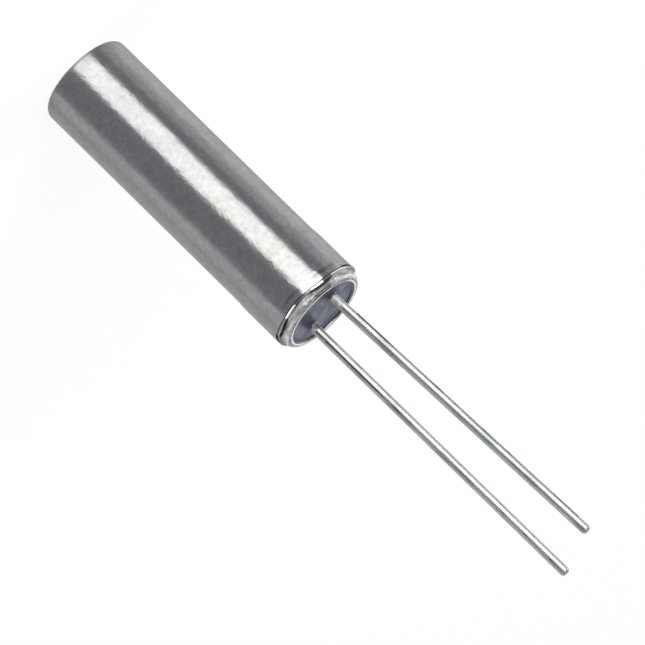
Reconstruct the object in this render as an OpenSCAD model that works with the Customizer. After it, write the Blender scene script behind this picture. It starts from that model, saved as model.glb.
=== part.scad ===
// Quartz crystal in a cylindrical metal can with two wire leads.
// Millimetres. The closed end of the can stands on Z = 0 and the leads point up along +Z.
// X runs from lead A to lead B. The quartz strip is bonded to the +Y side of both leads.

/* [Can] */
// Outside diameter of the can
can_d = 3.05; // [2.9:0.01:3.2]
// Length of the can, from its closed end to its cut rim
can_l = 10.3; // [9.5:0.1:12]
// Thickness of the drawn wall and end
can_wall = 0.11; // [0.09:0.01:0.14]
// Outside corner radius of the closed end
can_corner_r = 0.16; // [0.12:0.01:0.3]
// Rounding on the outside of the cut rim
rim_r = 0.08; // [0.03:0.01:0.08]

/* [Header ring] */
// How much the pressed-in ring spreads the mouth of the can, on the diameter
press_spread = 0.05; // [0.02:0.01:0.08]
// Length of the ring
ring_l = 1.9; // [1.6:0.1:2.3]
// How far the ring stands out of the can
ring_proud = 0.25; // [0.15:0.01:0.4]
// Thickness of the ring's wall
ring_wall = 0.23; // [0.18:0.01:0.26]
// Rounding on the outside edge of the ring
ring_edge_r = 0.15; // [0.05:0.01:0.17]
// Chamfer on the edge of the ring's bore
ring_bore_chamfer = 0.02; // [0.01:0.01:0.03]
// Depth of the lead-in taper on the ring's inner end
ring_taper = 0.06; // [0.04:0.01:0.1]
// Length of the lead-in taper
ring_taper_l = 0.35; // [0.35:0.05:0.6]

/* [Glass seal] */
// How far the glass lies below the outer end of the ring
glass_recess = 0.06; // [0.05:0.01:0.12]
// How far the glass stops short of the inner end of the ring
glass_inner_recess = 0.12; // [0:0.01:0.3]
// Rise of the glass where it wets the ring's bore
ring_wet = 0.03; // [0.01:0.01:0.04]
// Rise of the glass where it wets a lead
lead_wet_h = 0.11; // [0.05:0.01:0.11]
// Spread of that rise around a lead
lead_wet_w = 0.12; // [0.08:0.01:0.2]

/* [Leads] */
// Diameter of the lead wire
lead_d = 0.3; // [0.25:0.01:0.35]
// Distance between the leads where they leave the glass
lead_pitch = 1.2; // [1.1:0.05:1.3]
// Straight length of both leads, from their bends to the tip of lead A
lead_l = 10.49; // [3:0.01:15]
// How much longer lead B was left
lead_b_extra = 0.16; // [-0.5:0.01:0.5]
// Lean of lead A from upright, in degrees
lead_a_lean = 1.97; // [0.6:0.01:4]
// Direction of lead A's lean, in degrees from +X towards +Y
lead_a_lean_dir = 180; // [90:5:270]
// Lean of lead B from upright, in degrees
lead_b_lean = 0.6; // [0.6:0.01:4]
// Direction of lead B's lean, in degrees from +X towards +Y
lead_b_lean_dir = 80; // [-120:5:120]
// Height of the bend above the ring's outer end
lead_bend_h = 0.07; // [0.07:0.01:0.5]
// Chamfer left by the cutter on the tip of a lead
lead_tip_chamfer = 0.04; // [0.01:0.005:0.05]
// Width of the coined end of a lead
coin_w = 0.32; // [0.31:0.01:0.36]
// Thickness of the coined end
coin_t = 0.22; // [0.16:0.01:0.24]
// Length of the coined end
coin_l = 0.7; // [0.65:0.05:0.9]
// Length over which the round wire thins to the coined end
coin_neck_l = 0.3; // [0.2:0.05:0.4]

/* [Quartz strip] */
// Length of the strip
strip_l = 6; // [4:0.1:7.5]
// Width of the strip
strip_w = 1.7; // [1.7:0.05:2]
// Thickness of the strip
strip_t = 0.25; // [0.1:0.01:0.4]
// Distance from the ring's inner end to the strip's bonded end
strip_drop = 0.35; // [0.25:0.05:0.6]

/* [Electrodes] */
// Thickness of each electrode film
film_t = 0.01; // [0.005:0.001:0.02]
// Width of the driven area
pad_w = 1.2; // [1:0.05:1.4]
// Length of the driven area
pad_l = 3.2; // [2:0.1:3.6]
// Distance from the strip's free end to the driven area
pad_from_end = 1.1; // [0.2:0.1:1.2]
// Width of the tab that runs to a lead
tab_w = 0.36; // [0.2:0.01:0.38]

/* [Bonds] */
// Radius of a drop of conductive adhesive
bond_r = 0.27; // [0.24:0.01:0.29]
// Adhesive between a coined lead and the strip
bond_gap = 0.04; // [0.03:0.01:0.05]
// Distance from the strip's bonded end to the middle of the drops
bond_from_end = 0.32; // [0.3:0.01:0.34]

/* [Hidden] */
$fn = 96;

body_r = can_d / 2;
bore_r = body_r - can_wall;
spread = press_spread / 2;
inner_corner_r = can_corner_r - can_wall / 2;

ring_r = bore_r + spread;
ring_bore_r = ring_r - ring_wall;
ring_top_z = can_l + ring_proud;
ring_bottom_z = ring_top_z - ring_l;

// The mouth widens over a short stretch around the ring's inner end.
flare_l = 0.5;
flare_below_ring = 0.3;
flare_z = ring_bottom_z - flare_below_ring;
flare_steps = 10;

glass_z = ring_top_z - glass_recess;
glass_bottom_z = ring_bottom_z + glass_inner_recess;

lead_r = lead_d / 2;
lead_x = lead_pitch / 2;
bend_z = ring_top_z + lead_bend_h;

strip_top_z = ring_bottom_z - strip_drop;
strip_bottom_z = strip_top_z - strip_l;
strip_front_y = coin_t / 2 + bond_gap;
strip_back_y = strip_front_y + strip_t;
pad_z = strip_bottom_z + pad_from_end;
pad_top_z = pad_z + pad_l;
tab_lap = 0.2;
tab_stop = 0.15;

bond_z = strip_top_z - bond_from_end;
coin_bottom_z = bond_z - coin_l / 2;
coin_top_z = coin_bottom_z + coin_l;
reach = 0.1;

// Points on a circular arc about [cx, cy], from angle a0 to a1 in n steps.
function arc(cx, cy, r, a0, a1, n) =
    [for (i = [0 : n]) [cx + r * cos(a0 + (a1 - a0) * i / n), cy + r * sin(a0 + (a1 - a0) * i / n)]];

// Ease from 0 to 1, level at both ends.
function ease(u) = u * u * (3 - 2 * u);

// Side of the can, inside or outside, through the widening at its mouth.
function flare(r) =
    [for (i = [0 : flare_steps]) [r + spread * ease(i / flare_steps), flare_z + flare_l * i / flare_steps]];

// Deep-drawn cup: closed end, straight wall, mouth spread by the ring, rounded rim.
module can() {
    outside = concat(
        [[0, 0]],
        arc(body_r - can_corner_r, can_corner_r, can_corner_r, -90, 0, 10),
        flare(body_r),
        arc(body_r + spread - rim_r, can_l - rim_r, rim_r, 0, 90, 6),
        [[0, can_l]]);
    inside = concat(
        [[0, can_wall]],
        arc(bore_r - inner_corner_r, can_wall + inner_corner_r, inner_corner_r, -90, 0, 6),
        flare(bore_r),
        [[ring_r, can_l + reach], [0, can_l + reach]]);
    color("silver")
        rotate_extrude()
            difference() {
                polygon(outside);
                polygon(inside);
            }
}

// Turned ring pressed into the mouth: lead-in taper below, rounded outer edge above.
module header_ring() {
    section = concat(
        [[ring_bore_r, ring_bottom_z],
         [ring_r - ring_taper, ring_bottom_z],
         [ring_r, ring_bottom_z + ring_taper_l]],
        arc(ring_r - ring_edge_r, ring_top_z - ring_edge_r, ring_edge_r, 0, 90, 6),
        [[ring_bore_r + ring_bore_chamfer, ring_top_z],
         [ring_bore_r, ring_top_z - ring_bore_chamfer]]);
    color("lightgray")
        rotate_extrude()
            polygon(section);
}

// Glass that climbs a lead in a hollow curve and ends in a narrow land around it.
module lead_wetting() {
    land = 0.012;
    steps = 6;
    rise = [for (i = [0 : steps])
        [lead_r + land + (lead_wet_w - land) * (1 - sin(90 * i / steps)),
         lead_wet_h * (1 - cos(90 * i / steps))]];
    rotate_extrude()
        polygon(concat([[0, -reach / 2], [lead_r + lead_wet_w, -reach / 2]], rise, [[0, lead_wet_h]]));
}

// Glass fused into the ring's bore, with the leads sealed through it.
module glass_seal() {
    wetted_disc = concat(
        [[0, glass_bottom_z], [ring_bore_r, glass_bottom_z]],
        arc(ring_bore_r - ring_wet, glass_z + ring_wet, ring_wet, 0, -90, 5),
        [[0, glass_z]]);
    color("darkslateblue")
        difference() {
            union() {
                rotate_extrude()
                    polygon(wetted_disc);
                for (x = [-lead_x, lead_x])
                    translate([x, 0, glass_z])
                        lead_wetting();
            }
            for (x = [-lead_x, lead_x])
                translate([x, 0, glass_bottom_z - reach])
                    cylinder(r = lead_r, h = bend_z - glass_bottom_z + 2 * reach);
        }
}

// Block on the plane that halves a lead's bend, above it (side 1) or below it (side -1).
module bend_block(lean, side) {
    block = 4 * lead_d;
    rotate([0, lean / 2, 0])
        translate([0, 0, side * block / 2])
            cube(block, center = true);
}

// Wire from the bend to the tip, cut square with a small chamfer.
module lead_wire(lean, l) {
    difference() {
        rotate([0, lean, 0]) {
            translate([0, 0, -reach])
                cylinder(r = lead_r, h = l - lead_tip_chamfer + reach);
            translate([0, 0, l - lead_tip_chamfer])
                cylinder(r1 = lead_r, r2 = lead_r - lead_tip_chamfer, h = lead_tip_chamfer);
        }
        bend_block(lean, -1);
    }
}

// Upright wire through the glass, from the coined end to the bend.
module lead_post(lean) {
    difference() {
        translate([0, 0, coin_top_z - bend_z - reach])
            cylinder(r = lead_r, h = bend_z - coin_top_z + 2 * reach);
        bend_block(lean, 1);
    }
}

// Blocks on both sides of a lead that thin its round wire down to the coin.
module neck_blocks() {
    block = 2 * lead_d;
    neck_angle = atan((lead_d - coin_t) / 2 / coin_neck_l);
    for (side = [0, 1])
        mirror([0, side, 0])
            translate([-block / 2, coin_t / 2, coin_top_z])
                rotate([-neck_angle, 0, 0])
                    translate([0, 0, -block])
                        cube([block, block, block + coin_neck_l + reach]);
}

// Flat end of a lead, coined wider than the wire and rounded at its tip.
module lead_coin() {
    r = coin_w / 2;
    outline = concat(
        arc(0, coin_bottom_z + r, r, 180, 360, 12),
        [[r, coin_top_z], [-r, coin_top_z]]);
    translate([0, coin_t / 2, 0])
        rotate([90, 0, 0])
            linear_extrude(height = coin_t)
                polygon(outline);
}

module lead(x, lean, lean_dir, l) {
    color("gainsboro")
        translate([x, 0, 0])
            union() {
                difference() {
                    translate([0, 0, bend_z])
                        rotate([0, 0, lean_dir])
                            union() {
                                lead_wire(lean, l);
                                lead_post(lean);
                            }
                    neck_blocks();
                }
                lead_coin();
            }
}

module lead_a() {
    lead(-lead_x, lead_a_lean, lead_a_lean_dir, lead_l);
}

module lead_b() {
    lead(lead_x, lead_b_lean, lead_b_lean_dir, lead_l + lead_b_extra);
}

// Thin rectangular blank of quartz, the piece that vibrates.
module quartz_strip() {
    color("lightcyan", 0.6)
        translate([-strip_w / 2, strip_front_y, strip_bottom_z])
            cube([strip_w, strip_t, strip_l]);
}

// Metal film on the face towards the leads, with its tab on lead A's side.
module electrode_front() {
    tab_top_z = strip_top_z - tab_stop;
    color("whitesmoke")
        union() {
            translate([-pad_w / 2, strip_front_y - film_t, pad_z])
                cube([pad_w, film_t, pad_l]);
            translate([-lead_x - tab_w / 2, strip_front_y - film_t, pad_top_z - tab_lap])
                cube([tab_w, film_t, tab_top_z - pad_top_z + tab_lap]);
        }
}

// Metal film on the far face, whose tab folds over the bonded end to reach lead B.
module electrode_back() {
    tab_x = lead_x - tab_w / 2;
    turn_z = coin_bottom_z;
    color("whitesmoke")
        union() {
            translate([-pad_w / 2, strip_back_y, pad_z])
                cube([pad_w, film_t, pad_l]);
            translate([tab_x, strip_back_y, pad_top_z - tab_lap])
                cube([tab_w, film_t, strip_top_z + film_t - pad_top_z + tab_lap]);
            translate([tab_x, strip_front_y - film_t, strip_top_z])
                cube([tab_w, strip_t + 2 * film_t, film_t]);
            translate([tab_x, strip_front_y - film_t, turn_z])
                cube([tab_w, film_t, strip_top_z + film_t - turn_z]);
        }
}

// Drop of conductive adhesive that wraps the coined lead and wets the strip's face.
module bond(x) {
    block = 4 * bond_r;
    color("darkgray")
        translate([x, 0, 0])
            difference() {
                translate([0, 0, bond_z])
                    sphere(r = bond_r);
                translate([-block / 2, strip_front_y, bond_z - block / 2])
                    cube(block);
                translate([-tab_w / 2, strip_front_y - film_t, bond_z - block / 2])
                    cube([tab_w, block, block]);
                lead_coin();
            }
}

module bond_a() {
    bond(-lead_x);
}

module bond_b() {
    bond(lead_x);
}

can();
header_ring();
glass_seal();
lead_a();
lead_b();
quartz_strip();
electrode_front();
electrode_back();
bond_a();
bond_b();
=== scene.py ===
import math
import bmesh
import bpy
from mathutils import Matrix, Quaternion, Vector


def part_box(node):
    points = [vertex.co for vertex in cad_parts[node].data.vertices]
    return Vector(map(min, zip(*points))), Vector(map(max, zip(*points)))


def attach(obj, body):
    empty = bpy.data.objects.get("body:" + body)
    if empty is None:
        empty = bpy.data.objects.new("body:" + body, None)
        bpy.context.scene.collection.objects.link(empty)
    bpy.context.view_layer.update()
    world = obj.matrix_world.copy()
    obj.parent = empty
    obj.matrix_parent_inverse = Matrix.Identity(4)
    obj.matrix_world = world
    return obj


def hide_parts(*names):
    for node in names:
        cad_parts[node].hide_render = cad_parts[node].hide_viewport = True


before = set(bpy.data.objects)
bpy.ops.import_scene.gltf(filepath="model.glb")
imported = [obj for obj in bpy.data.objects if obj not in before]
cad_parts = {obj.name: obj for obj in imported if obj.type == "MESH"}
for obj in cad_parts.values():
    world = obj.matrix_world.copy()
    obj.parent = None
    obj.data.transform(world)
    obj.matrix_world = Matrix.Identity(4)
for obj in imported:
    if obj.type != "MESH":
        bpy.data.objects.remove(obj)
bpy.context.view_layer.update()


# ---- Camera --------------------------------------------------------------------------------------
# The crystal stands on its closed end. A long lens looks a little down on it, and is turned so that
# the leads run to the lower right of the picture.

mm = 0.001
camera_direction = math.radians(-121.3)
camera_height_angle = math.radians(18.8)
camera_turn = math.radians(134.42)
camera_distance = 234.5 * mm
camera_aim = Vector((0.198, -0.121, 10.735)) * mm
lens_length = 446.5
sensor_width = 36
nearest_seen = 1 * mm
farthest_seen = 10


def from_angles(direction, height_angle):
    """Unit vector at an angle round +Z from +X, raised by the second angle."""
    level = math.cos(height_angle)
    return Vector((level * math.cos(direction), level * math.sin(direction), math.sin(height_angle)))


camera_data = bpy.data.cameras.new("camera")
camera_data.lens = lens_length
camera_data.sensor_width = sensor_width
camera_data.clip_start = nearest_seen
camera_data.clip_end = farthest_seen
camera = bpy.data.objects.new("camera", camera_data)
towards_camera = from_angles(camera_direction, camera_height_angle)
camera.location = camera_aim + towards_camera * camera_distance
level_view = towards_camera.to_track_quat("Z", "Y")
camera.rotation_euler = (level_view @ Quaternion((0, 0, 1), camera_turn)).to_euler()
bpy.context.scene.collection.objects.link(camera)
bpy.context.scene.camera = camera
bpy.context.scene.view_settings.view_transform = "Standard"


# ---- Studio --------------------------------------------------------------------------------------
# A satin white acrylic floor, lit from inside and a little dimmer in reflections. A tall softbox
# stands left of the camera, wider and dimmer ones at both sides and behind. Only the room's dim
# violet comes from the front, so the polished can shows one bright streak.

floor_reach = 1.0
floor_glow = 1.02
floor_glow_reflected = 0.78
floor_glow_share = 0.85
world_hex = "2b294e"
lamp_distance = 0.4
lamp_foot = 0.002
top_lamp_height = 0.4
top_lamp_size = 0.46
top_lamp_brightness = 1.0
lamp_tint = (1.0, 1.0, 0.935)
warm_tint = (1.0, 0.94, 0.89)
cool_tint = (0.88, 0.94, 1.05)
room_tint = (0.3, 0.3, 1.0)


def linear(hex_colour):
    """Linear RGBA of an sRGB colour written as six hex digits."""
    channels = [int(hex_colour[at:at + 2], 16) / 255 for at in (0, 2, 4)]
    return [c / 12.92 if c <= 0.04045 else ((c + 0.055) / 1.055) ** 2.4 for c in channels] + [1]


def add(material, kind, inputs, **settings):
    """Adds a node with its own settings, and gives its sockets their values or links."""
    node = material.node_tree.nodes.new(kind)
    for name, value in settings.items():
        setattr(node, name, value)
    for socket, value in inputs.items():
        if isinstance(value, bpy.types.NodeSocket):
            material.node_tree.links.new(value, node.inputs[socket])
        else:
            node.inputs[socket].default_value = value
    return node


def new_material(name):
    """An empty node material."""
    material = bpy.data.materials.new(name)
    material.use_nodes = True
    material.node_tree.nodes.clear()
    return material


# White cast acrylic with a sanded face: satin, with only a blurred reflection.
acrylic = new_material("satin_white_acrylic")
acrylic_surface = add(acrylic, "ShaderNodeBsdfPrincipled", {
    "Base Color": linear("dcdee3"), "Roughness": 0.55, "IOR": 1.49})
ray = add(acrylic, "ShaderNodeLightPath", {})
glow_level = add(acrylic, "ShaderNodeMath", {
    0: ray.outputs["Is Glossy Ray"], 1: floor_glow_reflected - floor_glow, 2: floor_glow},
    operation="MULTIPLY_ADD")
acrylic_glow = add(acrylic, "ShaderNodeEmission", {
    "Color": linear("fefefe"), "Strength": glow_level.outputs["Value"]})
seen_or_glossy = add(acrylic, "ShaderNodeMath", {
    0: ray.outputs["Is Camera Ray"], 1: ray.outputs["Is Glossy Ray"]}, operation="ADD")
seen_at_all = add(acrylic, "ShaderNodeMath", {
    0: seen_or_glossy.outputs["Value"], 1: ray.outputs["Is Transmission Ray"]},
    operation="ADD", use_clamp=True)
glow_share = add(acrylic, "ShaderNodeMath", {
    0: seen_at_all.outputs["Value"], 1: floor_glow_share}, operation="MULTIPLY")
acrylic_seen = add(acrylic, "ShaderNodeMixShader", {
    0: glow_share.outputs["Value"], 1: acrylic_surface.outputs["BSDF"],
    2: acrylic_glow.outputs["Emission"]})
add(acrylic, "ShaderNodeOutputMaterial", {"Surface": acrylic_seen.outputs["Shader"]})

bpy.ops.mesh.primitive_plane_add(size=2 * floor_reach)
floor = bpy.context.object
floor.name = "floor"
floor.data.materials.append(acrylic)

world = bpy.data.worlds.new("studio_dark")
world.use_nodes = True
world.node_tree.nodes["Background"].inputs["Color"].default_value = linear(world_hex)
bpy.context.scene.world = world


def softbox(name, start_deg, end_deg, top_deg, brightness, tint=lamp_tint):
    """A lamp that stands on the floor and fills the angles given, left of the camera being minus.
    Its brightness is what a mirror would show of it, where 1 is white."""
    half = math.radians(end_deg - start_deg) / 2
    width = 2 * lamp_distance * math.tan(half)
    height = lamp_distance * math.tan(math.radians(top_deg))
    data = bpy.data.lights.new(name, "AREA")
    data.shape = "RECTANGLE"
    data.size = width
    data.size_y = height
    data.energy = brightness * math.pi * width * height
    data.color = tint
    lamp = bpy.data.objects.new(name, data)
    direction = from_angles(camera_direction + math.radians(start_deg + end_deg) / 2, 0)
    lamp.location = direction * lamp_distance + Vector((0, 0, lamp_foot + height / 2))
    lamp.rotation_euler = direction.to_track_quat("Z", "Y").to_euler()
    lamp.visible_camera = False
    bpy.context.scene.collection.objects.link(lamp)


softbox("key_softbox", -46.5, 1.5, 32, 15.6)
softbox("room_softbox", 14, 62, 45, 0.09, room_tint)
softbox("left_softbox", -141, -101, 45, 3.95, warm_tint)
softbox("left_edge_softbox", -101, -75, 45, 1.6, warm_tint)
softbox("right_softbox", 69, 101, 45, 2.75, warm_tint)
softbox("right_back_softbox", 105, 148, 45, 1.95, warm_tint)
softbox("back_left_softbox", -169, -141, 35, 0.85)
softbox("back_right_softbox", 148, 169, 35, 0.7)
softbox("back_softbox", 169, 191, 35, 0.7, cool_tint)

top_data = bpy.data.lights.new("top_softbox", "AREA")
top_data.size = top_lamp_size
top_data.energy = top_lamp_brightness * math.pi * top_lamp_size ** 2
top_data.color = lamp_tint
top = bpy.data.objects.new("top_softbox", top_data)
top.location = (0, 0, top_lamp_height)
top.visible_camera = False
bpy.context.scene.collection.objects.link(top)


# ---- Can -----------------------------------------------------------------------------------------
# A cup deep-drawn from thin nickel silver and polished, pressed over the header ring, which spreads
# its mouth a little. The press tool left a crease under the cut rim and closed the rim unevenly.

can_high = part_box("can")[1]
mouth_r = can_high.x
rim_z = can_high.z
mouth_spread = 0.025 * mm
body_r = mouth_r - mouth_spread
can_wall = 0.11 * mm
outer_skin = 0.3 * can_wall
corner_r = 0.16 * mm
worn_foot_height = 0.4 * corner_r
worn_foot_width = 0.8 * corner_r
rim_edge = 0.02 * mm
wall_steps = 24
flare_start = 8.35 * mm
flare_end = 8.85 * mm
flare_steps = 8
closed_end_rings = 6
closed_end_step = 0.2 * mm
crease_z = rim_z - 0.1 * mm
crease_half = 0.02 * mm
crease_floor_half = 0.012 * mm
crease_depth = 0.035 * mm
crease_smear = 0.04 * mm
press_flat_z = crease_z - 0.3 * mm
press_flat_edge = 0.02 * mm
press_flat_depth = 0.025 * mm
rim_gap = 0.06 * mm
rim_wave = 0.07 * mm
rim_wave_reach = 0.4 * mm
burr = 0.02 * mm
can_sides = 240
smooth_deg = 35

# The slack with which corners are picked by their places.
speck = 0.001 * mm

# Where round the can the press tool worked unevenly, where the lip gets a painted highlight and
# where the rim, crease and lip get painted shade: a strength, an angle and half a width each.
lip_least = 0.3
lip_places = ((0.5, -144, 26), (0.15, -95, 19), (0.5, -66, 24),
              (0.6, 165, 40), (0.5, -20, 35), (0.6, 85, 50))
# The places where the lip gets its painted highlight.
lip_highlight_places = ((1, -172, 20), (1, -137, 13), (1, -95, 15), (1, 60, 20), (1, 130, 12), (1, 0, 10))
open_places = ((1.5, -144, 25), (0.5, -104, 18), (1.5, -66, 28), (1, 0, 30), (0.7, 100, 40))
raised_places = ((1, -145, 52), (0.4, -80, 30), (0.5, 60, 70))
press_flat_places = ((4, -135, 14),)
burr_places = ((1, 151, 8),)
# Where the rim, a wider band of the crease and the whole lip get painted shade.
rim_shade_places = ((1, -144, 22),)
wide_crease_shade_places = ((1, 165, 20),)
lip_shade_places = ((1, -47, 12),)
painted_shade_least = 0.1
lip_highlight_least = 0.2


def start_circle(**settings):
    """Adds a circle with nothing else selected, its place in its mesh, and opens it for editing."""
    bpy.ops.object.select_all(action="DESELECT")
    bpy.ops.mesh.primitive_circle_add(**settings)
    bpy.ops.object.transform_apply()
    bpy.ops.object.mode_set(mode="EDIT")
    bpy.ops.mesh.select_mode(type="EDGE")
    return bpy.context.object


def choose(piece, parts, test):
    """Selects the piece's edges or faces whose corners all pass the test, and nothing else."""
    bpy.ops.mesh.select_mode(type={"edges": "EDGE", "faces": "FACE"}[parts])
    bpy.ops.mesh.select_all(action="DESELECT")
    shape = bmesh.from_edit_mesh(piece.data)
    for part in getattr(shape, parts):
        part.select_set(all(test(corner.co) for corner in part.verts))
    bmesh.update_edit_mesh(piece.data)


def move_corners(piece, move):
    """Gives each corner of the piece the place that move works out from its old one."""
    shape = bmesh.from_edit_mesh(piece.data)
    for corner in shape.verts:
        corner.co = move(corner.co.copy())
    bmesh.update_edit_mesh(piece.data)


def pull(x, y, z, scale=1.0, centre=(0, 0, 0)):
    """Extrudes what is selected by a step and scales its end round the centre."""
    bpy.ops.mesh.extrude_region_move(TRANSFORM_OT_translate={"value": (x, y, z)})
    if scale != 1.0:
        bpy.ops.transform.resize(value=(scale, scale, 1), center_override=centre)


def across(point):
    """Distance of a point from the can's axis."""
    return math.hypot(point.x, point.y)


def ease(share):
    """From 0 to 1, level at both ends."""
    share = max(0, min(1, share))
    return share * share * (3 - 2 * share)


def lobe(point, centre_deg, half_width_deg):
    """1 at one angle round the can's axis, easing to 0 half a width to either side."""
    away = math.degrees(math.atan2(point.y, point.x)) - centre_deg
    return ease(1 - abs((away + 180) % 360 - 180) / half_width_deg)


def worked(point, places):
    """How strongly the press tool worked at the point, summed over its places round the can."""
    return sum(strength * lobe(point, centre, half_width) for strength, centre, half_width in places)


def outward(point, step):
    """The point moved away from the can's axis."""
    share = 1 + step / across(point)
    return Vector((point.x * share, point.y * share, point.z))


def lip_share(point):
    """How much of its full height the press tool left the lip over the crease."""
    return min(1, lip_least + worked(point, lip_places))


def rim_open(point):
    """Where the rim was left standing off the ring, as a share of the widest gap."""
    return min(1, worked(point, open_places))


def in_painted_crease_shade(point):
    """The faces given painted shade: the crease's floor, a wider band of it at some places, and part of
    the lip and rim.
    """
    on_rim = point.z > rim_z - speck and across(point) < mouth_r - rim_edge + speck
    if on_rim and worked(point, rim_shade_places) > painted_shade_least:
        return True
    reach = crease_floor_half
    if worked(point, wide_crease_shade_places) > painted_shade_least:
        reach = crease_smear
    if worked(point, lip_shade_places) > painted_shade_least:
        reach = rim_z - crease_z
    return abs(point.z - crease_z) < reach + speck and across(point) > mouth_r - rim_edge - speck


def work_rim(point):
    """What the press tool left: a flat under the crease, the crease itself, the uneven lip and gap
    over it, a burr, and a rim that isn't level."""
    lip_foot = crease_z + crease_half
    outside = across(point) > mouth_r - outer_skin
    if outside and abs(point.z - crease_z) < crease_floor_half + speck:
        point = outward(point, -crease_depth)
    if outside and press_flat_z < point.z < crease_z:
        sunk = press_flat_depth * (point.z - press_flat_z) / (crease_z - press_flat_z)
        point = outward(point, -sunk * min(1, worked(point, press_flat_places)))
    if point.z > rim_z - speck and across(point) < mouth_r - can_wall + speck:
        point = outward(point, rim_gap * rim_open(point))
    if point.z > lip_foot:
        point.z = lip_foot + (point.z - lip_foot) * lip_share(point)
    if point.z > crease_z and outside:
        point = outward(point, burr * worked(point, burr_places))
    near_rim = ease((point.z - crease_z) / rim_wave_reach + 1)
    point.z += rim_wave * near_rim * worked(point, raised_places)
    return point


def cover(piece, finish):
    """Gives the selected faces one of the piece's own finishes."""
    piece.active_material_index = piece.data.materials.find(finish.name)
    bpy.ops.object.material_slot_assign()


def finish_piece(piece, name, node):
    """Leaves edit mode, smooths the piece, gives it its name and ties it to the frame."""
    bpy.ops.mesh.select_all(action="SELECT")
    bpy.ops.mesh.normals_make_consistent(inside=False)
    bpy.ops.object.mode_set(mode="OBJECT")
    piece.name = name
    bpy.ops.object.shade_smooth_by_angle(angle=math.radians(smooth_deg))
    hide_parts(node)
    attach(piece, "root")


# Smears by their places and reaches in millimetres. Each is a flat oval round the can.
press_smears = (((-0.42, -1.46, 10.0), 0.6), ((-1.4, -0.62, 10.0417), 0.7))
smear_flatness = 6
smear_fray = 0.3 * mm
# Where the lip's painted highlight is weaker.
dimmer_highlight_place = Vector((-1.52, -0.22, 10.25)) * mm
dimmer_highlight_reach = 0.7 * mm

# Polished nickel silver: near-neutral with faint warm and cool clouds. The polishing lines run
# round the can, so a highlight is drawn out along it and stays narrow across it. The drawn grain
# shows as a fine orange peel that frets the highlight's edges; it is drawn coarser than it is.
nickel_silver = new_material("polished_nickel_silver")
place = add(nickel_silver, "ShaderNodeTexCoord", {}).outputs["Object"]
clouds = add(nickel_silver, "ShaderNodeTexNoise", {
    "Vector": place, "Scale": 1 / (0.9 * mm), "Detail": 4.0, "Roughness": 0.6})
tone = add(nickel_silver, "ShaderNodeMix", {
    0: clouds.outputs["Fac"], 6: linear("7b7d87"), 7: linear("8f8e89")}, data_type="RGBA")
mottle = add(nickel_silver, "ShaderNodeTexNoise", {
    "Vector": place, "Scale": 1 / (0.16 * mm), "Detail": 4.0, "Roughness": 0.7})
mottled = add(nickel_silver, "ShaderNodeMapRange", {
    "Value": mottle.outputs["Fac"], "From Min": 0.25, "From Max": 0.75, "To Min": 0.82, "To Max": 1.18})
shaded = add(nickel_silver, "ShaderNodeVectorMath", {
    0: tone.outputs[2], "Scale": mottled.outputs["Result"]}, operation="SCALE")
grain = add(nickel_silver, "ShaderNodeTexNoise", {
    "Vector": place, "Scale": 1 / (0.075 * mm), "Detail": 2.0, "Roughness": 0.6})
specks = add(nickel_silver, "ShaderNodeTexNoise", {
    "Vector": place, "Scale": 1 / (0.12 * mm), "Detail": 1.0, "Roughness": 0.5})
speckled = add(nickel_silver, "ShaderNodeMapRange", {
    "Value": specks.outputs["Fac"], "From Min": 0.74, "From Max": 0.8, "To Min": 0.0, "To Max": 0.35})
stained = add(nickel_silver, "ShaderNodeMix", {
    0: speckled.outputs["Result"], 6: shaded.outputs["Vector"], 7: linear("4c4c50")}, data_type="RGBA")
for smear_place, smear_reach in press_smears:
    from_smear = add(nickel_silver, "ShaderNodeVectorMath", {
        0: place, 1: Vector(smear_place) * mm}, operation="SUBTRACT")
    flattened = add(nickel_silver, "ShaderNodeVectorMath", {
        0: from_smear.outputs["Vector"], 1: (1, 1, smear_flatness)}, operation="MULTIPLY")
    smear = add(nickel_silver, "ShaderNodeVectorMath", {
        0: flattened.outputs["Vector"]}, operation="LENGTH")
    frayed = add(nickel_silver, "ShaderNodeMath", {
        0: mottle.outputs["Fac"], 1: smear_fray, 2: smear.outputs["Value"]}, operation="MULTIPLY_ADD")
    smeared = add(nickel_silver, "ShaderNodeMapRange", {
        "Value": frayed.outputs["Value"], "From Min": 0.5 * smear_reach * mm,
        "From Max": smear_reach * mm, "To Min": 0.5, "To Max": 0.0})
    stained = add(nickel_silver, "ShaderNodeMix", {
        0: smeared.outputs["Result"], 6: stained.outputs[2], 7: linear("3c3b3f")}, data_type="RGBA")
dullness = add(nickel_silver, "ShaderNodeMapRange", {
    "Value": clouds.outputs["Fac"], "From Min": 0.3, "From Max": 0.7, "To Min": 0.31, "To Max": 0.37})
ripples = add(nickel_silver, "ShaderNodeTexNoise", {
    "Vector": place, "Scale": 1 / (0.35 * mm), "Detail": 3.0, "Roughness": 0.5})
rippled = add(nickel_silver, "ShaderNodeBump", {
    "Height": ripples.outputs["Fac"], "Distance": 0.0095 * mm, "Strength": 1.0})
grained = add(nickel_silver, "ShaderNodeBump", {
    "Height": grain.outputs["Fac"], "Distance": 0.003 * mm, "Strength": 1.0,
    "Normal": rippled.outputs["Normal"]})
tangent = add(nickel_silver, "ShaderNodeTangent", {}, direction_type="RADIAL", axis="Z")
nickel_surface = add(nickel_silver, "ShaderNodeBsdfPrincipled", {
    "Base Color": stained.outputs[2], "Metallic": 1.0, "Roughness": dullness.outputs["Result"],
    "Anisotropic": 1.0, "Anisotropic Rotation": 0.25, "Tangent": tangent.outputs["Tangent"],
    "Normal": grained.outputs["Normal"]})
add(nickel_silver, "ShaderNodeOutputMaterial", {"Surface": nickel_surface.outputs["BSDF"]})
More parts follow.
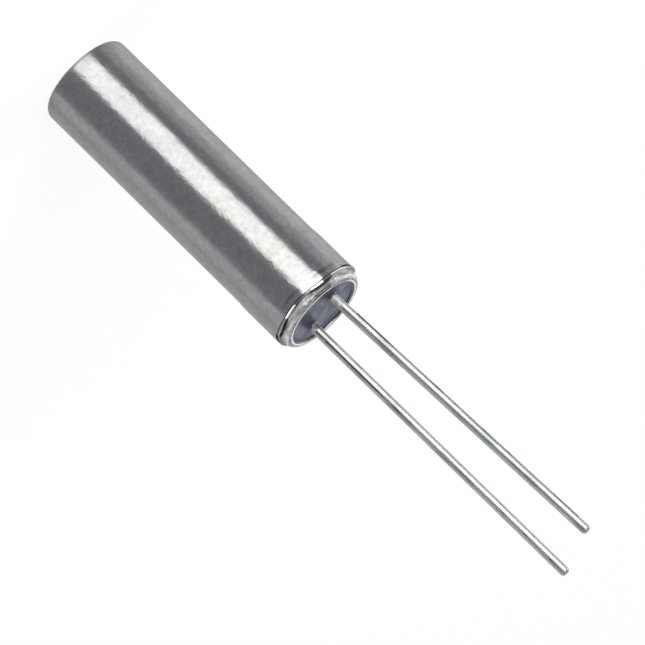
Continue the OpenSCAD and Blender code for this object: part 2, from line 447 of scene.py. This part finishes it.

# A near-white matte tone. On the lip it is a painted highlight, weaker on one stretch of the lip;
# round the foot of the can it is the nickel silver worn bright.
bright_and_highlight = new_material("worn_bright_nickel_silver_and_painted_highlight")
place = add(bright_and_highlight, "ShaderNodeTexCoord", {}).outputs["Object"]
bright_flecks = add(bright_and_highlight, "ShaderNodeTexNoise", {
    "Vector": place, "Scale": 1 / (0.15 * mm), "Detail": 3.0, "Roughness": 0.6})
bright_and_highlight_tone = add(bright_and_highlight, "ShaderNodeMix", {
    0: bright_flecks.outputs["Fac"], 6: linear("cfcfd1"), 7: linear("f6f6f5")}, data_type="RGBA")
dimmer_highlight_distance = add(bright_and_highlight, "ShaderNodeVectorMath", {
    0: place, 1: dimmer_highlight_place}, operation="DISTANCE")
dimmer_highlight = add(bright_and_highlight, "ShaderNodeMapRange", {
    "Value": dimmer_highlight_distance.outputs["Value"], "From Min": 0.7 * dimmer_highlight_reach,
    "From Max": dimmer_highlight_reach, "To Min": 1.0, "To Max": 0.0})
bright_and_highlight_tone = add(bright_and_highlight, "ShaderNodeMix", {
    0: dimmer_highlight.outputs["Result"], 6: bright_and_highlight_tone.outputs[2], 7: linear("a0a0a1")},
    data_type="RGBA")
bright_and_highlight_surface = add(bright_and_highlight, "ShaderNodeBsdfPrincipled", {
    "Base Color": bright_and_highlight_tone.outputs[2], "Metallic": 0.5, "Roughness": 0.35})
add(bright_and_highlight, "ShaderNodeOutputMaterial", {"Surface": bright_and_highlight_surface.outputs["BSDF"]})

# Painted shade in the crease, the seam between can and ring and inside the rim: nearly black, and dull.
seam_shade = new_material("painted_seam_shade")
place = add(seam_shade, "ShaderNodeTexCoord", {}).outputs["Object"]
seam_shade_flecks = add(seam_shade, "ShaderNodeTexNoise", {"Vector": place, "Scale": 1 / (0.1 * mm), "Detail": 2.0})
seam_shade_tone = add(seam_shade, "ShaderNodeMix", {
    0: seam_shade_flecks.outputs["Fac"], 6: linear("09090a"), 7: linear("282726")}, data_type="RGBA")
seam_shade_surface = add(seam_shade, "ShaderNodeBsdfPrincipled", {
    "Base Color": seam_shade_tone.outputs[2], "Roughness": 0.7, "Specular IOR Level": 0.25})
add(seam_shade, "ShaderNodeOutputMaterial", {"Surface": seam_shade_surface.outputs["BSDF"]})

can = start_circle(vertices=can_sides, radius=body_r, fill_type="NGON")
for step in range(wall_steps):
    pull(0, 0, flare_start / wall_steps)
radius = body_r
for step in range(flare_steps):
    wider = body_r + (mouth_r - body_r) * ease((step + 1) / flare_steps)
    pull(0, 0, (flare_end - flare_start) / flare_steps, wider / radius)
    radius = wider
mouth_levels = [9.3 * mm, 9.6 * mm, press_flat_z - press_flat_edge, press_flat_z,
                press_flat_z + press_flat_edge, crease_z - crease_smear, crease_z - crease_half,
                crease_z - crease_floor_half, crease_z + crease_floor_half, crease_z + crease_half,
                crease_z + crease_smear, rim_z]
height = flare_end
for level in mouth_levels:
    pull(0, 0, level - height)
    height = level
choose(can, "faces", lambda p: p.z > rim_z - speck)
bpy.ops.mesh.delete(type="FACE")
bpy.ops.mesh.select_all(action="SELECT")
bpy.ops.mesh.normals_make_consistent(inside=False)
choose(can, "edges", lambda p: p.z < speck and across(p) > body_r - speck)
bpy.ops.mesh.bevel(offset=corner_r, segments=8, affect="EDGES")
choose(can, "faces", lambda p: p.z < speck)
for step in range(closed_end_rings):
    bpy.ops.mesh.inset(thickness=closed_end_step)
bpy.ops.object.mode_set(mode="OBJECT")
wall = can.modifiers.new("wall", "SOLIDIFY")
wall.thickness = can_wall
wall.offset = -1
wall.use_even_offset = True
bpy.ops.object.modifier_apply(modifier="wall")
bpy.ops.object.mode_set(mode="EDIT")
choose(can, "edges", lambda p: p.z > rim_z - speck and across(p) > mouth_r - speck)
bpy.ops.mesh.bevel(offset=rim_edge, segments=2, affect="EDGES")
for finish in (nickel_silver, bright_and_highlight, seam_shade):
    can.data.materials.append(finish)
# Painted highlight on the lip, where it shows white.
choose(can, "faces", lambda p: p.z > crease_z + crease_half - speck
       and worked(p, lip_highlight_places) > lip_highlight_least)
cover(can, bright_and_highlight)
choose(can, "faces", lambda p: -speck < p.z < worn_foot_height
       and across(p) > body_r - worn_foot_width)
cover(can, bright_and_highlight)
# Painted shade inside the rim and in the crease.
choose(can, "faces", lambda p: p.z > crease_z - speck and across(p) < mouth_r - can_wall + speck)
cover(can, seam_shade)
choose(can, "faces", in_painted_crease_shade)
cover(can, seam_shade)
move_corners(can, work_rim)
finish_piece(can, "can_shell", "can")


# ---- Header ring ---------------------------------------------------------------------------------
# A turned and nickel-plated ring, pressed into the mouth of the can and standing a little out of
# it. Its inner end is tapered to enter the can, and its outer edge is rounded.

ring_low, ring_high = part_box("header_ring")
ring_r = ring_high.x
ring_top = ring_high.z
ring_wall = 0.23 * mm
ring_bore_r = ring_r - ring_wall
ring_edge_r = 0.15 * mm
bore_chamfer = 0.02 * mm
ring_taper = 0.06 * mm
ring_taper_l = 0.35 * mm
seam_height = 0.06 * mm
tool_line_deg = 52.5
tool_line_z = ring_top - ring_edge_r * (1 - math.sin(math.radians(tool_line_deg)))
tool_line_depth = 0.018 * mm
tool_line_places = ((1, -112, 75),)

# Patches of painted shade by their places and reaches in millimetres, and their strengths.
shade_patch_fray = 0.5 * mm
plate_shade_patches = (((-1.16, -0.94, 10.45), 0.8, 0.92), ((-0.83, -1.18, 10.46), 0.6, 0.6),
                 ((-0.4, -1.42, 10.42), 0.6, 0.35), ((-1.38, -0.1, 10.52), 0.65, 0.4),
                 ((0.42, -1.36, 10.45), 0.6, 0.3))

# Satin nickel plate over a turned face: pale and a little warm, lumpy where the plate is thick,
# with turning lines round it, drawn coarser than they are. Patches of painted shade darken parts
# of its side and rounded edge. Melting the glass left the bore grey with oxide.
plated = new_material("satin_nickel_plate")
place = add(plated, "ShaderNodeTexCoord", {}).outputs["Object"]
turned = add(plated, "ShaderNodeMapping", {"Vector": place, "Scale": (1, 1, 5)})
lines = add(plated, "ShaderNodeTexNoise", {
    "Vector": turned.outputs["Vector"], "Scale": 1 / (0.3 * mm), "Detail": 3.0, "Roughness": 0.6})
lumps = add(plated, "ShaderNodeTexNoise", {
    "Vector": place, "Scale": 1 / (0.13 * mm), "Detail": 2.0, "Roughness": 0.55})
plate_share = add(plated, "ShaderNodeMapRange", {
    "Value": lines.outputs["Fac"], "From Min": 0.35, "From Max": 0.65})
plate_tone = add(plated, "ShaderNodeMix", {
    0: plate_share.outputs["Result"], 6: linear("87888b"), 7: linear("c4c6c8")}, data_type="RGBA")
lined = add(plated, "ShaderNodeBump", {
    "Height": lines.outputs["Fac"], "Distance": 0.008 * mm, "Strength": 1.0})
lumped = add(plated, "ShaderNodeBump", {
    "Height": lumps.outputs["Fac"], "Distance": 0.022 * mm, "Strength": 1.0,
    "Normal": lined.outputs["Normal"]})
# Painted shade, patch by patch, over the plate's tone.
for shade_patch_place, shade_patch_reach, shade_patch_strength in plate_shade_patches:
    shade_patch_distance = add(plated, "ShaderNodeVectorMath", {
        0: place, 1: Vector(shade_patch_place) * mm}, operation="DISTANCE")
    frayed = add(plated, "ShaderNodeMath", {
        0: lumps.outputs["Fac"], 1: shade_patch_fray, 2: shade_patch_distance.outputs["Value"]}, operation="MULTIPLY_ADD")
    shade_patch_share = add(plated, "ShaderNodeMapRange", {
        "Value": frayed.outputs["Value"], "From Min": 0.6 * shade_patch_reach * mm,
        "From Max": shade_patch_reach * mm, "To Min": shade_patch_strength, "To Max": 0.0})
    plate_tone = add(plated, "ShaderNodeMix", {
        0: shade_patch_share.outputs["Result"], 6: plate_tone.outputs[2], 7: linear("414142")}, data_type="RGBA")
level_place = add(plated, "ShaderNodeVectorMath", {0: place, 1: (1, 1, 0)}, operation="MULTIPLY")
from_axis = add(plated, "ShaderNodeVectorMath", {0: level_place.outputs["Vector"]}, operation="LENGTH")
oxidised = add(plated, "ShaderNodeMapRange", {
    "Value": from_axis.outputs["Value"], "From Min": ring_bore_r + bore_chamfer,
    "From Max": ring_bore_r + 1.5 * bore_chamfer, "To Min": 0.65, "To Max": 0.0})
plate_tone = add(plated, "ShaderNodeMix", {
    0: oxidised.outputs["Result"], 6: plate_tone.outputs[2], 7: linear("4a4a4c")}, data_type="RGBA")
plated_surface = add(plated, "ShaderNodeBsdfPrincipled", {
    "Base Color": plate_tone.outputs[2], "Metallic": 1.0, "Roughness": 0.5,
    "Normal": lumped.outputs["Normal"]})
add(plated, "ShaderNodeOutputMaterial", {"Surface": plated_surface.outputs["BSDF"]})

ring = start_circle(vertices=can_sides, radius=ring_bore_r, fill_type="NOTHING",
                    location=(0, 0, ring_low.z))
bpy.ops.mesh.select_all(action="SELECT")
pull(0, 0, 0, (ring_r - ring_taper) / ring_bore_r)
pull(0, 0, ring_taper_l, ring_r / (ring_r - ring_taper))
pull(0, 0, rim_z - ring_low.z - ring_taper_l)
pull(0, 0, ring_top - rim_z)
pull(0, 0, 0, ring_bore_r / ring_r)
choose(ring, "edges", lambda p: across(p) < ring_bore_r + speck)
bpy.ops.mesh.bridge_edge_loops()
choose(ring, "edges", lambda p: p.z > ring_top - speck and across(p) > ring_r - speck)
bpy.ops.mesh.bevel(offset=ring_edge_r, segments=12, affect="EDGES")
choose(ring, "edges", lambda p: p.z > ring_top - speck and across(p) < ring_bore_r + speck)
bpy.ops.mesh.bevel(offset=bore_chamfer, segments=2, affect="EDGES")
for finish in (plated, seam_shade, bright_and_highlight):
    ring.data.materials.append(finish)
# Painted seam shade on the ring's side, below the rim.
choose(ring, "faces", lambda p: p.z < rim_z + speck and across(p) > ring_r - speck)
cover(ring, seam_shade)
choose(ring, "faces", lambda p: p.z > ring_top - speck)
cover(ring, bright_and_highlight)


def finish_turning(point):
    """The painted seam shade's edge follows the rim, and the turning tool left a line on the rounded
    edge.
    """
    if abs(point.z - rim_z) < speck:
        rim_point = work_rim(outward(point, mouth_r - ring_r))
        point.z = rim_point.z + seam_height * rim_open(point)
    if abs(point.z - tool_line_z) < 3 * speck:
        sunk = tool_line_depth * worked(point, tool_line_places)
        point = outward(point, -sunk)
        point.z -= sunk
    return point


move_corners(ring, finish_turning)
finish_piece(ring, "pressed_ring", "header_ring")


# ---- Glass seal ----------------------------------------------------------------------------------
# Dark glass, melted into the ring's bore as a bead with both leads through it. It seals the can and
# keeps the leads apart. It wets the bore and climbs each lead in a hollow curve.

glass_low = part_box("glass_seal")[0].z
glass_sunk = 0.06 * mm
glass_top = ring_top - glass_sunk
ring_wet = 0.02 * mm
ring_wet_steps = 4
lead_r = 0.15 * mm
lead_x = 0.6 * mm
wire_sides = 96
climb_height = 0.07 * mm
climb_spread = 0.07 * mm
climb_steps = 8
# Painted shade towards the ring: where it starts, and where it is full.
edge_shade_start = 0.17 * mm
edge_shade_full = 0.05 * mm

# Painted dark reflections of the leads by their places and half their sizes in millimetres, turned by
# one angle.
lead_reflection_deg = -121
lead_reflection_fray = 0.8
lead_reflection_patches = (((-0.82, -0.37, 10.49), (0.65, 0.32, 1)), ((0.22, -0.63, 10.49), (0.85, 0.24, 1)))

# Blue-grey sealing glass, fire-polished: glossy, but with the soft ripple of glass that has flowed.
# Painted shade darkens it towards the ring, and beside each lead a dark patch is painted as the
# lead's reflection, where the glass is also made matt.
seal_glass = new_material("fused_seal_glass")
place = add(seal_glass, "ShaderNodeTexCoord", {}).outputs["Object"]
flow = add(seal_glass, "ShaderNodeTexNoise", {
    "Vector": place, "Scale": 1 / (0.5 * mm), "Detail": 3.0, "Roughness": 0.5})
cloudy = add(seal_glass, "ShaderNodeMapRange", {
    "Value": flow.outputs["Fac"], "From Min": 0.38, "From Max": 0.62})
glass_tone = add(seal_glass, "ShaderNodeMix", {
    0: cloudy.outputs["Result"], 6: linear("0c0d11"), 7: linear("4e505b")}, data_type="RGBA")
glass_bump = add(seal_glass, "ShaderNodeBump", {
    "Height": flow.outputs["Fac"], "Distance": 0.015 * mm, "Strength": 1.0})
lead_reflection_edge = add(seal_glass, "ShaderNodeMath", {
    0: flow.outputs["Fac"], 1: lead_reflection_fray, 2: -lead_reflection_fray / 2}, operation="MULTIPLY_ADD")
lead_reflection_share = 0.0
for patch_place, patch_half in lead_reflection_patches:
    laid = add(seal_glass, "ShaderNodeMapping", {
        "Vector": place, "Location": Vector(patch_place) * mm,
        "Rotation": (0, 0, math.radians(lead_reflection_deg)), "Scale": Vector(patch_half) * mm},
        vector_type="TEXTURE")
    reach = add(seal_glass, "ShaderNodeVectorMath", {0: laid.outputs["Vector"]}, operation="LENGTH")
    frayed = add(seal_glass, "ShaderNodeMath", {
        0: reach.outputs["Value"], 1: lead_reflection_edge.outputs["Value"]}, operation="ADD")
    patch = add(seal_glass, "ShaderNodeMapRange", {
        "Value": frayed.outputs["Value"], "From Min": 0.55, "From Max": 1.25,
        "To Min": 1.0, "To Max": 0.0})
    both = add(seal_glass, "ShaderNodeMath", {
        0: patch.outputs["Result"], 1: lead_reflection_share}, operation="MAXIMUM")
    lead_reflection_share = both.outputs["Value"]
# The painted reflections of the leads darken the glass's tone.
glass_tone = add(seal_glass, "ShaderNodeMix", {
    0: lead_reflection_share, 6: glass_tone.outputs[2], 7: linear("15172a")}, data_type="RGBA")
level_place = add(seal_glass, "ShaderNodeVectorMath", {0: place, 1: (1, 1, 0)}, operation="MULTIPLY")
from_axis = add(seal_glass, "ShaderNodeVectorMath", {
    0: level_place.outputs["Vector"]}, operation="LENGTH")
# Painted shade, darkest where the glass meets the ring.
edge_shade = add(seal_glass, "ShaderNodeMapRange", {
    "Value": from_axis.outputs["Value"], "From Min": ring_bore_r - edge_shade_start,
    "From Max": ring_bore_r - edge_shade_full, "To Min": 0.0, "To Max": 0.85})
glass_tone = add(seal_glass, "ShaderNodeMix", {
    0: edge_shade.outputs["Result"], 6: glass_tone.outputs[2], 7: linear("0a0a0c")}, data_type="RGBA")
glass_dullness = add(seal_glass, "ShaderNodeMapRange", {
    "Value": lead_reflection_share, "To Min": 0.14, "To Max": 0.5})
glass_surface = add(seal_glass, "ShaderNodeBsdfPrincipled", {
    "Base Color": glass_tone.outputs[2], "Roughness": glass_dullness.outputs["Result"], "IOR": 1.52,
    "Normal": glass_bump.outputs["Normal"]})
add(seal_glass, "ShaderNodeOutputMaterial", {"Surface": glass_surface.outputs["BSDF"]})

glass = start_circle(vertices=can_sides, radius=ring_bore_r, fill_type="NOTHING",
                     location=(0, 0, glass_top + ring_wet))
bpy.ops.mesh.select_all(action="SELECT")
radius = ring_bore_r
height = glass_top + ring_wet
for step in range(ring_wet_steps):
    turned = math.radians(90 * (step + 1) / ring_wet_steps)
    inner = ring_bore_r - ring_wet * (1 - math.cos(turned))
    lower = glass_top + ring_wet * (1 - math.sin(turned))
    pull(0, 0, lower - height, inner / radius)
    radius, height = inner, lower
choose(glass, "edges", lambda p: p.z > glass_top + ring_wet - speck)
pull(0, 0, glass_low - glass_top - ring_wet)
for lead_side in (-1, 1):
    bpy.ops.mesh.select_all(action="DESELECT")
    foot = Vector((lead_side * lead_x, 0, glass_low))
    bpy.ops.mesh.primitive_circle_add(vertices=wire_sides, radius=lead_r, location=foot)
    pull(0, 0, glass_top + climb_height - glass_low)
    radius = lead_r
    height = glass_top + climb_height
    for step in range(climb_steps):
        turned = math.radians(90 * (step + 1) / climb_steps)
        outer = lead_r + climb_spread * (1 - math.cos(turned))
        lower = glass_top + climb_height * (1 - math.sin(turned))
        pull(0, 0, lower - height, outer / radius, foot)
        radius, height = outer, lower
for level in (glass_top, glass_low):
    choose(glass, "edges", lambda p: abs(p.z - level) < speck)
    bpy.ops.mesh.fill(use_beauty=True)
glass.data.materials.append(seal_glass)
finish_piece(glass, "glass_bead", "glass_seal")


# ---- Leads ---------------------------------------------------------------------------------------
# Tinned wire, coined flat at its inner end for the quartz, sealed through the glass, bent a little
# just above it and cut with shears. The straightening rolls left two faint flats along it.

coin_half_w = 0.16 * mm
coin_half_t = 0.11 * mm
coin_length = 0.7 * mm
neck_length = 0.3 * mm
bend_height = ring_top + 0.07 * mm
tip_chamfer = 0.04 * mm
wire_steps = 24
fade_length = 0.38 * mm
# Where the painted reflection line begins to fade out.
line_fade_top = bend_height + 2.2 * mm
# Where one lead's foot is darker on one side.
dark_foot_place = Vector((0.46, -0.04, 10.6)) * mm
dark_foot_reach = 0.17 * mm

# The rolls' flats by their angles round the wire and their depths.
roll_flats = ((-140, 0.006 * mm), (-111, 0.004 * mm))

# Bright tinned wire: whiter than the can, with faint streaks along it from the drawing die and
# longer, flatter dimples from the rolls.
tinned = new_material("bright_tinned_wire")
place = add(tinned, "ShaderNodeTexCoord", {}).outputs["Object"]
drawn = add(tinned, "ShaderNodeMapping", {"Vector": place, "Scale": (1, 1, 0.06)})
streaks = add(tinned, "ShaderNodeTexNoise", {
    "Vector": drawn.outputs["Vector"], "Scale": 1 / (0.07 * mm), "Detail": 3.0, "Roughness": 0.6})
rolled = add(tinned, "ShaderNodeMapping", {"Vector": place, "Scale": (1, 1, 0.4)})
dimples = add(tinned, "ShaderNodeTexNoise", {
    "Vector": rolled.outputs["Vector"], "Scale": 1 / (0.35 * mm), "Detail": 1.0, "Roughness": 0.4})
tin_tone = add(tinned, "ShaderNodeMix", {
    0: streaks.outputs["Fac"], 6: linear("8f9391"), 7: linear("a9adaa")}, data_type="RGBA")
tarnish = add(tinned, "ShaderNodeMapRange", {
    "Value": dimples.outputs["Fac"], "From Min": 0.5, "From Max": 0.68, "To Min": 0.0, "To Max": 0.4})
tarnished = add(tinned, "ShaderNodeMix", {
    0: tarnish.outputs["Result"], 6: tin_tone.outputs[2], 7: linear("5c5d60")}, data_type="RGBA")
streaked = add(tinned, "ShaderNodeBump", {
    "Height": streaks.outputs["Fac"], "Distance": 0.0007 * mm, "Strength": 1.0})
dimpled = add(tinned, "ShaderNodeBump", {
    "Height": dimples.outputs["Fac"], "Distance": 0.006 * mm, "Strength": 1.0,
    "Normal": streaked.outputs["Normal"]})
wire_tangent = add(tinned, "ShaderNodeTangent", {}, direction_type="RADIAL", axis="Z")
tinned_surface = add(tinned, "ShaderNodeBsdfPrincipled", {
    "Base Color": tarnished.outputs[2], "Metallic": 1.0, "Roughness": 0.42,
    "Anisotropic": 0.8, "Anisotropic Rotation": 0.25, "Tangent": wire_tangent.outputs["Tangent"],
    "Normal": dimpled.outputs["Normal"]})
add(tinned, "ShaderNodeOutputMaterial", {"Surface": tinned_surface.outputs["BSDF"]})

# Next to the glass the tin is dull and grey, crazed by the heat of the sealing, which fades up the
# wire, and one lead's foot is darker on one side.
crazed = new_material("heat_dulled_tin")
place = add(crazed, "ShaderNodeTexCoord", {}).outputs["Object"]
crazing = add(crazed, "ShaderNodeTexNoise", {"Vector": place, "Scale": 1 / (0.12 * mm), "Detail": 3.0})
crazed_tone = add(crazed, "ShaderNodeMix", {
    0: crazing.outputs["Fac"], 6: linear("7d7e82"), 7: linear("b6b7b9")}, data_type="RGBA")
foot_distance = add(crazed, "ShaderNodeVectorMath", {0: place, 1: dark_foot_place}, operation="DISTANCE")
dark_foot = add(crazed, "ShaderNodeMapRange", {
    "Value": foot_distance.outputs["Value"], "From Min": 0.6 * dark_foot_reach,
    "From Max": dark_foot_reach, "To Min": 0.85, "To Max": 0.0})
crazed_tone = add(crazed, "ShaderNodeMix", {
    0: dark_foot.outputs["Result"], 6: crazed_tone.outputs[2], 7: linear("3a3b38")}, data_type="RGBA")
wire_height = add(crazed, "ShaderNodeSeparateXYZ", {0: place})
crazed_dullness = add(crazed, "ShaderNodeMapRange", {
    "Value": wire_height.outputs["Z"], "From Min": bend_height, "From Max": bend_height + fade_length,
    "To Min": 0.65, "To Max": 0.42})
crazed_bump = add(crazed, "ShaderNodeBump", {"Height": crazing.outputs["Fac"], "Distance": 0.015 * mm})
crazed_surface = add(crazed, "ShaderNodeBsdfPrincipled", {
    "Base Color": crazed_tone.outputs[2], "Metallic": 0.9,
    "Roughness": crazed_dullness.outputs["Result"], "Normal": crazed_bump.outputs["Normal"]})
add(crazed, "ShaderNodeOutputMaterial", {"Surface": crazed_surface.outputs["BSDF"]})

# A dark reflection line painted along the wire at one angle round it, darkest near the glass.
reflection_line = new_material("painted_dark_reflection_line")
place = add(reflection_line, "ShaderNodeTexCoord", {}).outputs["Object"]
reflection_line_noise = add(reflection_line, "ShaderNodeTexNoise", {"Vector": place, "Scale": 1 / (0.9 * mm), "Detail": 4.0})
reflection_line_height = add(reflection_line, "ShaderNodeSeparateXYZ", {0: place})
reflection_line_fade = add(reflection_line, "ShaderNodeMapRange", {
    "Value": reflection_line_height.outputs["Z"], "From Min": line_fade_top, "From Max": line_fade_top + fade_length,
    "To Min": -0.1, "To Max": 0.05})
reflection_line_breaks = add(reflection_line, "ShaderNodeMath", {
    0: reflection_line_noise.outputs["Fac"], 1: reflection_line_fade.outputs["Result"]}, operation="ADD")
reflection_line_darkness = add(reflection_line, "ShaderNodeMapRange", {
    "Value": reflection_line_breaks.outputs["Value"], "From Min": 0.42, "From Max": 0.56})
reflection_line_tone = add(reflection_line, "ShaderNodeMix", {
    0: reflection_line_darkness.outputs["Result"], 6: linear("030303"), 7: linear("727573")}, data_type="RGBA")
reflection_line_surface = add(reflection_line, "ShaderNodeBsdfPrincipled", {
    "Base Color": reflection_line_tone.outputs[2], "Metallic": 0.6, "Roughness": 0.6,
    "Specular IOR Level": 0.25})
add(reflection_line, "ShaderNodeOutputMaterial", {"Surface": reflection_line_surface.outputs["BSDF"]})


def make_lead(name, node, x, lean_deg, lean_direction_deg, length, dull_length,
              line_start, line_end, line_deg, line_half_deg):
    """One lead, drawn up from its coined end, through the bend, to its cut tip. The dull length and
    the painted reflection line's start and end are measured from the bend."""
    foot_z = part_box(node)[0].z
    coin_top = foot_z + coin_length

    def flatten(point):
        """The round bar squeezed flat between the coining dies."""
        return Vector((point.x, max(-coin_half_t, min(coin_half_t, point.y)), point.z))

    def round_off(point):
        """Above the coin, the wire as it was drawn."""
        if point.z < coin_top + speck:
            return point
        around = math.atan2(point.y, point.x - x)
        return Vector((x + lead_r * math.cos(around), lead_r * math.sin(around), point.z))

    lead = start_circle(vertices=wire_sides, radius=coin_half_w, fill_type="NGON",
                        location=(x, 0, foot_z))
    pull(0, 0, coin_length)
    move_corners(lead, flatten)
    pull(0, 0, neck_length)
    move_corners(lead, round_off)
    pull(0, 0, bend_height - coin_top - neck_length)
    lean = from_angles(math.radians(lean_direction_deg), math.radians(90 - lean_deg))
    pull(*(lean * dull_length))
    for step in range(wire_steps):
        pull(*(lean * (length - dull_length - tip_chamfer) / wire_steps))
    tip = Vector((x, 0, bend_height)) + lean * length
    pull(*(lean * tip_chamfer), 1 - tip_chamfer / lead_r, tip)
    for finish in (tinned, crazed, reflection_line):
        lead.data.materials.append(finish)

    def axis_at(point):
        """The middle of the leaning wire at the point's height."""
        return Vector((x, 0, bend_height)) + lean * (point.z - bend_height) / lean.z

    def roll_flat(point):
        """Above the bend, pressed in where the wire would stand proud of a flat."""
        for flat_deg, flat_depth in roll_flats:
            towards_flat = from_angles(math.radians(flat_deg), 0)
            proud = (point - axis_at(point)).dot(towards_flat) - (lead_r - flat_depth)
            if point.z > bend_height + speck and proud > 0:
                point = point - towards_flat * proud
        return point

    def on_reflection_line(point):
        """On the painted dark reflection line, as seen from the wire's own axis."""
        centre = axis_at(point)
        around = math.degrees(math.atan2(point.y - centre.y, point.x - centre.x))
        off_line = abs((around - line_deg + 180) % 360 - 180)
        return line_start < point.z - bend_height < line_end and off_line < line_half_deg

    # Painted dark reflection line.
    choose(lead, "faces", on_reflection_line)
    cover(lead, reflection_line)
    dull_from = coin_top + neck_length
    choose(lead, "faces", lambda p: dull_from - speck < p.z < bend_height + dull_length + speck)
    cover(lead, crazed)
    move_corners(lead, roll_flat)
    finish_piece(lead, name, node)


make_lead("lead_wire_a", "lead_a", x=-lead_x, lean_deg=1.97, lean_direction_deg=180,
          length=10.49 * mm, dull_length=fade_length,
          line_start=0.5 * mm, line_end=10.2 * mm, line_deg=169, line_half_deg=20)
make_lead("lead_wire_b", "lead_b", x=lead_x, lean_deg=0.6, lean_direction_deg=80,
          length=10.65 * mm, dull_length=0.1 * mm,
          line_start=0.1 * mm, line_end=10.3 * mm, line_deg=-107, line_half_deg=8)


# ---- Hidden parts --------------------------------------------------------------------------------
# The quartz strip that vibrates, its two silver films and the drops of silver adhesive that hold it
# to the coined ends of the leads. They keep the shapes of the solids.

# Lapped quartz: a clear stone with a fine matt face.
quartz = new_material("lapped_quartz")
place = add(quartz, "ShaderNodeTexCoord", {}).outputs["Object"]
lapping = add(quartz, "ShaderNodeTexNoise", {"Vector": place, "Scale": 1 / (0.03 * mm), "Detail": 2.0})
quartz_tone = add(quartz, "ShaderNodeMix", {
    0: lapping.outputs["Fac"], 6: linear("cdd6d8"), 7: linear("e6eced")}, data_type="RGBA")
quartz_bump = add(quartz, "ShaderNodeBump", {"Height": lapping.outputs["Fac"], "Distance": 0.002 * mm})
quartz_surface = add(quartz, "ShaderNodeBsdfPrincipled", {
    "Base Color": quartz_tone.outputs[2], "Roughness": 0.45, "IOR": 1.54,
    "Normal": quartz_bump.outputs["Normal"]})
add(quartz, "ShaderNodeOutputMaterial", {"Surface": quartz_surface.outputs["BSDF"]})

# Evaporated silver: a film too thin to hide the lapped face under it.
film = new_material("evaporated_silver_film")
place = add(film, "ShaderNodeTexCoord", {}).outputs["Object"]
under = add(film, "ShaderNodeTexNoise", {"Vector": place, "Scale": 1 / (0.03 * mm), "Detail": 2.0})
film_tone = add(film, "ShaderNodeMix", {
    0: under.outputs["Fac"], 6: linear("c9c8c4"), 7: linear("e4e2dc")}, data_type="RGBA")
film_bump = add(film, "ShaderNodeBump", {"Height": under.outputs["Fac"], "Distance": 0.002 * mm})
film_surface = add(film, "ShaderNodeBsdfPrincipled", {
    "Base Color": film_tone.outputs[2], "Metallic": 1.0, "Roughness": 0.35,
    "Normal": film_bump.outputs["Normal"]})
add(film, "ShaderNodeOutputMaterial", {"Surface": film_surface.outputs["BSDF"]})

# Cured silver-filled adhesive: dull grey and granular.
adhesive = new_material("cured_silver_adhesive")
place = add(adhesive, "ShaderNodeTexCoord", {}).outputs["Object"]
flakes = add(adhesive, "ShaderNodeTexNoise", {"Vector": place, "Scale": 1 / (0.02 * mm), "Detail": 3.0})
adhesive_tone = add(adhesive, "ShaderNodeMix", {
    0: flakes.outputs["Fac"], 6: linear("8c8a86"), 7: linear("bdbab4")}, data_type="RGBA")
adhesive_bump = add(adhesive, "ShaderNodeBump", {
    "Height": flakes.outputs["Fac"], "Distance": 0.006 * mm})
adhesive_surface = add(adhesive, "ShaderNodeBsdfPrincipled", {
    "Base Color": adhesive_tone.outputs[2], "Metallic": 0.5, "Roughness": 0.6,
    "Normal": adhesive_bump.outputs["Normal"]})
add(adhesive, "ShaderNodeOutputMaterial", {"Surface": adhesive_surface.outputs["BSDF"]})

inner_finishes = {"quartz_strip": quartz, "electrode_front": film, "electrode_back": film,
                  "bond_a": adhesive, "bond_b": adhesive}
for node_name, finish in inner_finishes.items():
    node_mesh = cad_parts[node_name].data
    node_mesh.materials.clear()
    node_mesh.materials.append(finish)
